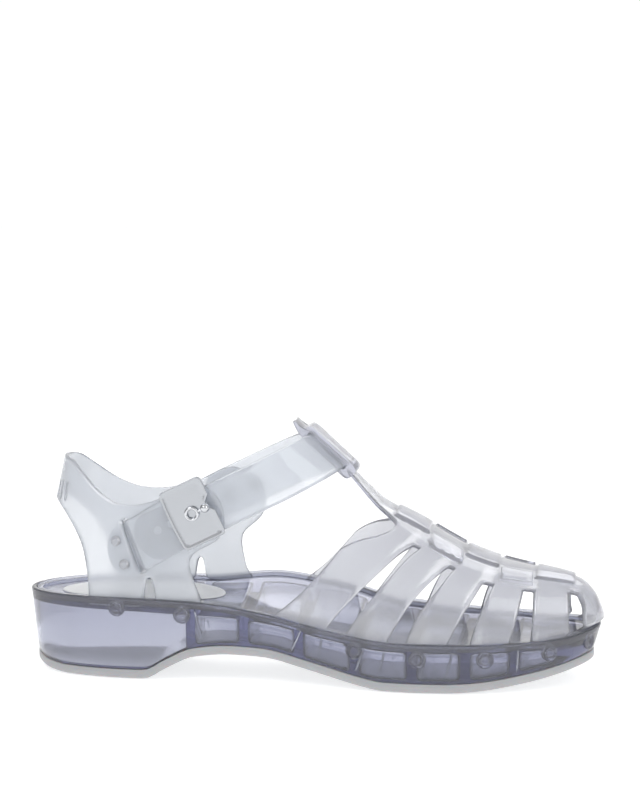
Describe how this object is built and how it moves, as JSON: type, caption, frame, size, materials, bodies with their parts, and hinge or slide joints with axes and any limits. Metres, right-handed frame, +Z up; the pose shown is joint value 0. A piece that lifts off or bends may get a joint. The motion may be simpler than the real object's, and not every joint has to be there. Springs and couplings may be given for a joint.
{
  "type": "jelly sandal",
  "caption": "Right closed-toe jelly sandal with a woven cage upper, a buckled ankle strap threaded through a keeper and a low hollow-ribbed wedge sole.",
  "frame": {"origin": "on the floor under the middle of the shoe's bounding box", "axes": "+X from heel to toe, +Y to the inner (medial) side of this right shoe, +Z up; the buckle is on the -Y outer side"},
  "size_m": [0.2496, 0.087, 0.1089],
  "materials": {
    "outsole_rubber": "smooth matt rubber, pale milky grey",
    "clear_sole": "clear moulded PVC with a violet-blue tint where it is thick",
    "clear_upper": "clear soft PVC, satin gloss",
    "buckle_metal": "satin silver plate, polished pin",
    "badge": "white oval badge, plain"
  },
  "bodies": {
    "root": {"outsole": "outsole_rubber", "sole": "clear_sole", "upper": "clear_upper", "ankle_strap": "clear_upper", "buckle_strap": "clear_upper", "buckle_plate": "buckle_metal", "buckle_pin": "buckle_metal", "heel_badge": "badge", "side_plug_lateral_1": "clear_sole", "side_plug_lateral_2": "clear_sole", "side_plug_lateral_3": "clear_sole", "side_plug_lateral_4": "clear_sole", "side_plug_lateral_5": "clear_sole", "side_plug_lateral_6": "clear_sole", "side_plug_lateral_7": "clear_sole", "side_plug_medial_1": "clear_sole", "side_plug_medial_2": "clear_sole", "side_plug_medial_3": "clear_sole", "side_plug_medial_4": "clear_sole", "side_plug_medial_5": "clear_sole", "side_plug_medial_6": "clear_sole", "side_plug_medial_7": "clear_sole", "strap_stud_1": "clear_upper", "strap_stud_2": "clear_upper", "wing_pin_1": "clear_upper", "wing_pin_2": "clear_upper"}
  },
  "joints": []
}
